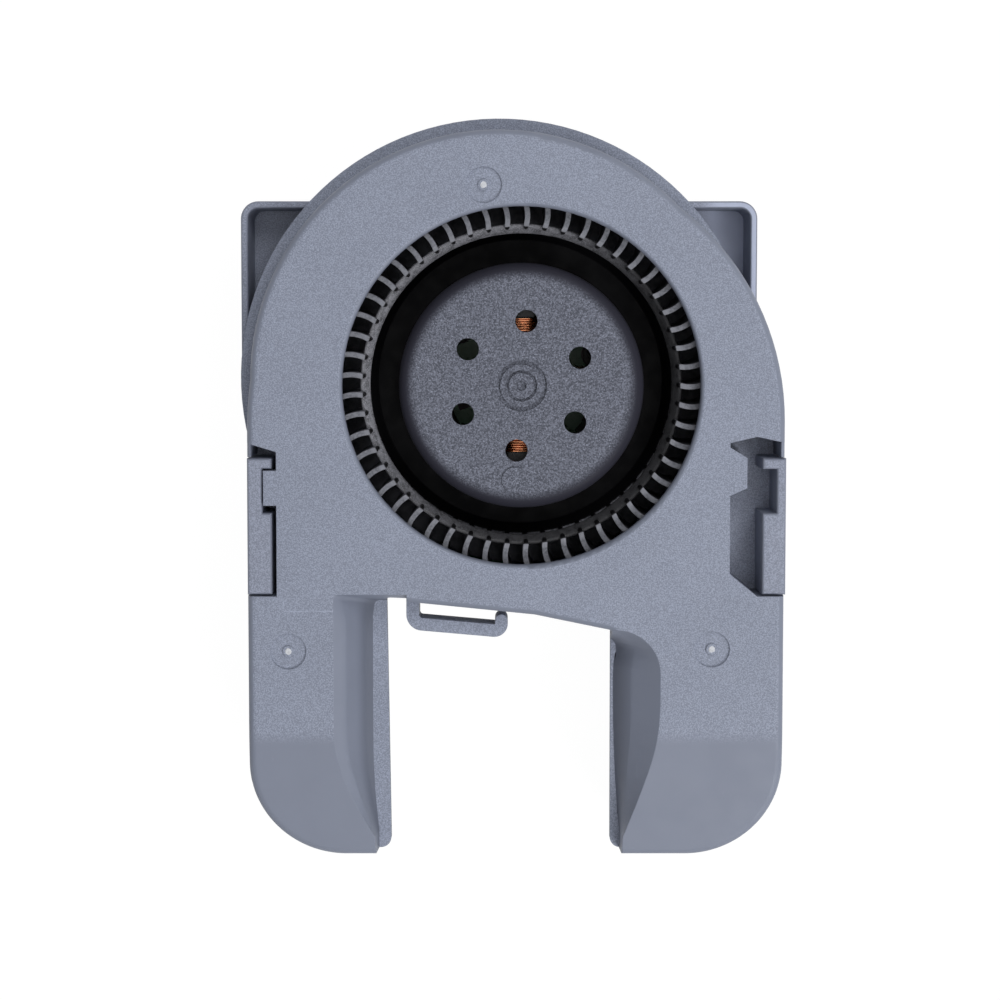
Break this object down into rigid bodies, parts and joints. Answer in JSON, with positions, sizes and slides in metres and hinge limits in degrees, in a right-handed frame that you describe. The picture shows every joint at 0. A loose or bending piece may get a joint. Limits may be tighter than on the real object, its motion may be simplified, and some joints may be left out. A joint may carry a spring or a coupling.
{
  "type": "cooling fan",
  "caption": "Flat radial blower for a cold cabinet: round inlet with a bladed wheel over an external-rotor motor, and two scooped legs that blow out at the back.",
  "frame": {"origin": "on the wheel's axis, at the back face", "axes": "+Z out of the inlet, +Y towards the dome, +X to the right as seen from the inlet side"},
  "size_m": [0.123, 0.167, 0.038],
  "materials": {
    "cover_plastic": "light grey moulded plastic, fine spark texture",
    "housing_plastic": "mid grey moulded plastic, fine spark texture",
    "wheel_plastic": "black glass-filled plastic",
    "black_plastic": "black moulded plastic",
    "insulator_plastic": "natural white plastic",
    "header_plastic": "natural white plastic",
    "chip_plastic": "moulded black epoxy",
    "board_laminate": "green solder-resist laminate",
    "copper_wire": "enamelled copper winding",
    "bearing_bronze": "oil-filled sintered bronze",
    "core_steel": "stacked electrical steel",
    "plated_steel": "zinc-plated steel",
    "shaft_steel": "ground steel",
    "magnet_ferrite": "bonded ferrite",
    "tin_pins": "tin-plated pins"
  },
  "bodies": {
    "housing": {"front_cover": "cover_plastic", "rear_housing": "housing_plastic", "motor_flange": "black_plastic", "flange_screws": "plated_steel", "stator_core": "core_steel", "front_insulator": "insulator_plastic", "rear_insulator": "insulator_plastic", "coil_1": "copper_wire", "coil_2": "copper_wire", "coil_3": "copper_wire", "coil_4": "copper_wire", "front_bearing": "bearing_bronze", "rear_bearing": "bearing_bronze", "thrust_pad": "insulator_plastic", "circuit_board": "board_laminate", "driver_chip": "chip_plastic", "hall_sensor": "chip_plastic", "board_capacitor": "chip_plastic", "board_resistors": "chip_plastic", "connector_header": "header_plastic", "connector_pins": "tin_pins"},
    "rotor": {"impeller": "wheel_plastic", "rotor_cup": "plated_steel", "ring_magnet": "magnet_ferrite", "rotor_bush": "bearing_bronze", "shaft": "shaft_steel", "shaft_clip": "plated_steel", "thrust_washer": "insulator_plastic"}
  },
  "joints": [
    {"name": "impeller_spin", "type": "hinge", "parent": "housing", "child": "rotor", "pos_m": [0, 0, 0.02], "axis": [0, 0, 1], "continuous": true}
  ]
}
